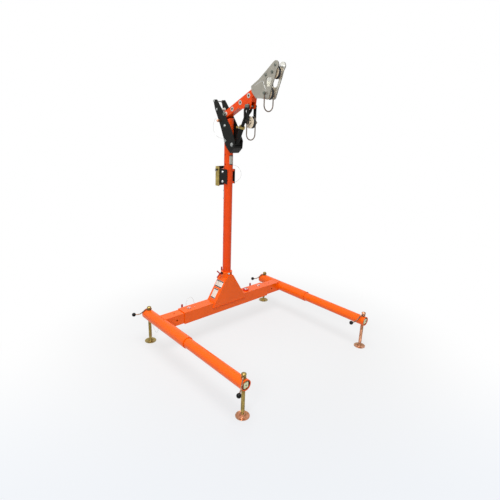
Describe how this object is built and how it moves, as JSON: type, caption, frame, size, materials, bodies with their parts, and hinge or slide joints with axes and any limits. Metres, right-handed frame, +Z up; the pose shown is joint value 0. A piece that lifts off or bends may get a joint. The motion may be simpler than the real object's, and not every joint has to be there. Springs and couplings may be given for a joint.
{
  "type": "confined space davit",
  "caption": "Portable confined space davit: jack-levelled telescopic base, turning mast, luffing boom with strut, twin-sheave head, pulley block and winch bracket.",
  "frame": {"origin": "floor level, centre of the footprint box of the whole davit", "axes": "+Z up along the mast, +X along the base beam to the right leg, boom and feet towards -Y"},
  "size_m": [1.4914, 1.3566, 2.176],
  "materials": {
    "orange_paint": "gloss orange powder coat",
    "black_paint": "satin black powder coat",
    "grey_paint": "satin silver grey coat",
    "yellow_zinc": "yellow zinc plate",
    "copper_zinc": "pink bronze zinc plate",
    "bright_steel": "bright zinc plate",
    "red_handle": "dark red dipped plastic",
    "black_plastic": "black moulded plastic",
    "cream_nylon": "cream cast nylon",
    "red_plastic": "red moulded plastic",
    "white_bush": "pale grey bushing"
  },
  "bodies": {
    "base": {"base_beam": "orange_paint", "socket_gussets": "orange_paint", "mast_socket": "orange_paint", "level": "red_plastic", "plunger_housings": "black_paint"},
    "left_leg_frame": {"left_arm": "orange_paint", "left_leg": "orange_paint"},
    "right_leg_frame": {"right_arm": "orange_paint", "right_leg": "orange_paint"},
    "left_extension_frame": {"left_extension": "orange_paint", "left_front_housing": "yellow_zinc"},
    "right_extension_frame": {"right_extension": "orange_paint", "right_front_housing": "yellow_zinc"},
    "left_rear_jack": {"left_rear_screw": "yellow_zinc"},
    "left_rear_handle": {"left_rear_crank": "bright_steel", "left_rear_knob": "black_plastic"},
    "left_rear_pad": {"left_rear_foot": "yellow_zinc"},
    "left_front_jack": {"left_front_screw": "yellow_zinc"},
    "left_front_handle": {"left_front_crank": "bright_steel", "left_front_knob": "black_plastic"},
    "left_front_pad": {"left_front_foot": "copper_zinc"},
    "left_arm_ring_pin": {"left_arm_pin": "bright_steel"},
    "left_leg_ring_pin": {"left_leg_pin": "bright_steel"},
    "left_arm_pull": {"left_arm_plunger": "red_handle"},
    "right_rear_jack": {"right_rear_screw": "yellow_zinc"},
    "right_rear_handle": {"right_rear_crank": "bright_steel", "right_rear_knob": "black_plastic"},
    "right_rear_pad": {"right_rear_foot": "yellow_zinc"},
    "right_front_jack": {"right_front_screw": "yellow_zinc"},
    "right_front_handle": {"right_front_crank": "bright_steel", "right_front_knob": "black_plastic"},
    "right_front_pad": {"right_front_foot": "copper_zinc"},
    "right_arm_ring_pin": {"right_arm_pin": "bright_steel"},
    "right_leg_ring_pin": {"right_leg_pin": "bright_steel"},
    "right_arm_pull": {"right_arm_plunger": "red_handle"},
    "side_socket_pull": {"side_socket_plunger": "red_handle"},
    "rear_socket_pull": {"rear_socket_plunger": "red_handle"},
    "mast_foot": {"lower_mast": "orange_paint"},
    "mast": {"upper_mast": "orange_paint", "mast_head_plates": "black_paint", "mast_bolts": "bright_steel", "winch_plates": "black_paint", "winch_mount": "yellow_zinc"},
    "rear_roller": {"mast_head_roller": "white_bush"},
    "mast_pin": {"mast_pull_pin": "red_handle"},
    "winch_detent": {"winch_pin": "black_plastic"},
    "boom_frame": {"boom": "orange_paint", "boom_bushings": "white_bush", "head_plates": "grey_paint", "head_bolts": "bright_steel"},
    "strut_lower": {"strut_tube": "black_paint", "strut_collar": "yellow_zinc"},
    "strut_upper": {"strut_rod": "black_paint"},
    "strut_lock": {"strut_pin": "bright_steel"},
    "upper_sheave": {"head_upper_sheave": "cream_nylon"},
    "lower_sheave": {"head_lower_sheave": "cream_nylon"},
    "head_loop": {"head_bail": "grey_paint"},
    "pulley_block": {"pulley_straps": "black_paint"},
    "block_sheave": {"pulley_sheave": "cream_nylon"},
    "block_loop": {"pulley_bail": "black_paint"}
  },
  "joints": [
    {"name": "left_arm_slide", "type": "slide", "parent": "base", "child": "left_leg_frame", "axis": [-1, 0, 0], "range_m": [-0.12, 0.12]},
    {"name": "right_arm_slide", "type": "slide", "parent": "base", "child": "right_leg_frame", "axis": [1, 0, 0], "range_m": [-0.12, 0.12]},
    {"name": "left_leg_slide", "type": "slide", "parent": "left_leg_frame", "child": "left_extension_frame", "axis": [0, -1, 0], "range_m": [0, 0.3]},
    {"name": "right_leg_slide", "type": "slide", "parent": "right_leg_frame", "child": "right_extension_frame", "axis": [0, -1, 0], "range_m": [0, 0.3]},
    {"name": "left_rear_jack_lift", "type": "slide", "parent": "left_leg_frame", "child": "left_rear_jack", "axis": [0, 0, 1], "range_m": [0, 0.16]},
    {"name": "left_rear_crank_flip", "type": "hinge", "parent": "left_rear_jack", "child": "left_rear_handle", "pos_m": [-0.62776, 0.59088, 0.297], "axis": [-0.8192, 0.5736, 0], "range_deg": [0, 170]},
    {"name": "left_rear_foot_tilt", "type": "hinge", "parent": "left_rear_jack", "child": "left_rear_pad", "pos_m": [-0.62776, 0.59088, 0.013], "axis": [1, 0, 0], "range_deg": [-8, 8]},
    {"name": "left_front_jack_lift", "type": "slide", "parent": "left_extension_frame", "child": "left_front_jack", "axis": [0, 0, 1], "range_m": [0, 0.16]},
    {"name": "left_front_crank_flip", "type": "hinge", "parent": "left_front_jack", "child": "left_front_handle", "pos_m": [-0.62776, -0.58912, 0.297], "axis": [0.809, 0.5878, 0], "range_deg": [0, 170]},
    {"name": "left_front_foot_tilt", "type": "hinge", "parent": "left_front_jack", "child": "left_front_pad", "pos_m": [-0.62776, -0.58912, 0.013], "axis": [1, 0, 0], "range_deg": [-8, 8]},
    {"name": "left_arm_pin_pull", "type": "slide", "parent": "base", "child": "left_arm_ring_pin", "axis": [0, 0, 1], "range_m": [0, 0.06]},
    {"name": "left_leg_pin_pull", "type": "slide", "parent": "left_leg_frame", "child": "left_leg_ring_pin", "axis": [0, 0, -1], "range_m": [0, 0.06]},
    {"name": "left_arm_plunger_pull", "type": "slide", "parent": "base", "child": "left_arm_pull", "axis": [0, 1, 0], "range_m": [0, 0.012], "stiffness_N_per_m": 600, "springref_m": -0.004},
    {"name": "right_rear_jack_lift", "type": "slide", "parent": "right_leg_frame", "child": "right_rear_jack", "axis": [0, 0, 1], "range_m": [0, 0.16]},
    {"name": "right_rear_crank_flip", "type": "hinge", "parent": "right_rear_jack", "child": "right_rear_handle", "pos_m": [0.69924, 0.59088, 0.297], "axis": [-0.8192, 0.5736, 0], "range_deg": [0, 170]},
    {"name": "right_rear_foot_tilt", "type": "hinge", "parent": "right_rear_jack", "child": "right_rear_pad", "pos_m": [0.69924, 0.59088, 0.013], "axis": [1, 0, 0], "range_deg": [-8, 8]},
    {"name": "right_front_jack_lift", "type": "slide", "parent": "right_extension_frame", "child": "right_front_jack", "axis": [0, 0, 1], "range_m": [0, 0.16]},
    {"name": "right_front_crank_flip", "type": "hinge", "parent": "right_front_jack", "child": "right_front_handle", "pos_m": [0.69924, -0.58912, 0.297], "axis": [-0.9659, 0.2588, 0], "range_deg": [0, 170]},
    {"name": "right_front_foot_tilt", "type": "hinge", "parent": "right_front_jack", "child": "right_front_pad", "pos_m": [0.69924, -0.58912, 0.013], "axis": [1, 0, 0], "range_deg": [-8, 8]},
    {"name": "right_arm_pin_pull", "type": "slide", "parent": "base", "child": "right_arm_ring_pin", "axis": [0, 0, 1], "range_m": [0, 0.06]},
    {"name": "right_leg_pin_pull", "type": "slide", "parent": "right_leg_frame", "child": "right_leg_ring_pin", "axis": [0, 0, -1], "range_m": [0, 0.06]},
    {"name": "right_arm_plunger_pull", "type": "slide", "parent": "base", "child": "right_arm_pull", "axis": [0, 1, 0], "range_m": [0, 0.012], "stiffness_N_per_m": 600, "springref_m": -0.004},
    {"name": "side_socket_plunger_pull", "type": "slide", "parent": "base", "child": "side_socket_pull", "axis": [-1, 0, 0], "range_m": [0, 0.01], "stiffness_N_per_m": 600, "springref_m": -0.004},
    {"name": "rear_socket_plunger_pull", "type": "slide", "parent": "base", "child": "rear_socket_pull", "axis": [0, 1, 0], "range_m": [0, 0.01], "stiffness_N_per_m": 600, "springref_m": -0.004},
    {"name": "mast_turn", "type": "hinge", "parent": "base", "child": "mast_foot", "pos_m": [0.03574, 0.40488, 0.292], "axis": [0, 0, 1], "continuous": true},
    {"name": "upper_mast_turn", "type": "hinge", "parent": "mast_foot", "child": "mast", "pos_m": [0.03574, 0.40488, 1.147], "axis": [0, 0, 1], "range_deg": [-180, 180]},
    {"name": "rear_roller_spin", "type": "hinge", "parent": "mast", "child": "rear_roller", "pos_m": [0.03574, 0.50688, 1.876], "axis": [1, 0, 0], "continuous": true},
    {"name": "mast_pin_pull", "type": "slide", "parent": "mast", "child": "mast_pin", "axis": [-1, 0, 0], "range_m": [0, 0.11]},
    {"name": "winch_pin_pull", "type": "slide", "parent": "mast", "child": "winch_detent", "axis": [-1, 0, 0], "range_m": [0, 0.11]},
    {"name": "boom_luff", "type": "hinge", "parent": "mast", "child": "boom_frame", "pos_m": [0.03574, 0.41488, 1.841], "axis": [1, 0, 0], "range_deg": [-15, 10]},
    {"name": "strut_swing", "type": "hinge", "parent": "mast", "child": "strut_lower", "pos_m": [0.03574, 0.31488, 1.615], "axis": [1, 0, 0], "range_deg": [-12, 12]},
    {"name": "strut_extend", "type": "slide", "parent": "strut_lower", "child": "strut_upper", "axis": [0, -0.4447, 0.8957], "range_m": [-0.07, 0.07]},
    {"name": "strut_pin_pull", "type": "slide", "parent": "strut_lower", "child": "strut_lock", "axis": [-1, 0, 0], "range_m": [0, 0.012], "stiffness_N_per_m": 600, "springref_m": -0.004},
    {"name": "upper_sheave_spin", "type": "hinge", "parent": "boom_frame", "child": "upper_sheave", "pos_m": [0.03574, -0.08112, 2.107], "axis": [1, 0, 0], "continuous": true},
    {"name": "lower_sheave_spin", "type": "hinge", "parent": "boom_frame", "child": "lower_sheave", "pos_m": [0.03574, -0.02612, 1.977], "axis": [1, 0, 0], "continuous": true},
    {"name": "head_bail_swing", "type": "hinge", "parent": "boom_frame", "child": "head_loop", "pos_m": [0.03574, -0.02612, 1.977], "axis": [1, 0, 0], "range_deg": [-60, 30]},
    {"name": "pulley_block_swing", "type": "hinge", "parent": "boom_frame", "child": "pulley_block", "pos_m": [0.03574, 0.14888, 1.897], "axis": [1, 0, 0], "range_deg": [-35, 3]},
    {"name": "block_sheave_spin", "type": "hinge", "parent": "pulley_block", "child": "block_sheave", "pos_m": [0.03574, 0.14888, 1.783], "axis": [1, 0, 0], "continuous": true},
    {"name": "block_bail_swing", "type": "hinge", "parent": "pulley_block", "child": "block_loop", "pos_m": [0.03574, 0.14888, 1.783], "axis": [1, 0, 0], "range_deg": [-90, 10]}
  ],
  "couplings": [
    {"joint": "strut_swing", "follows": "boom_luff", "ratio": 0.49828},
    {"joint": "strut_extend", "follows": "boom_luff", "m_per_rad": -0.19007}
  ]
}
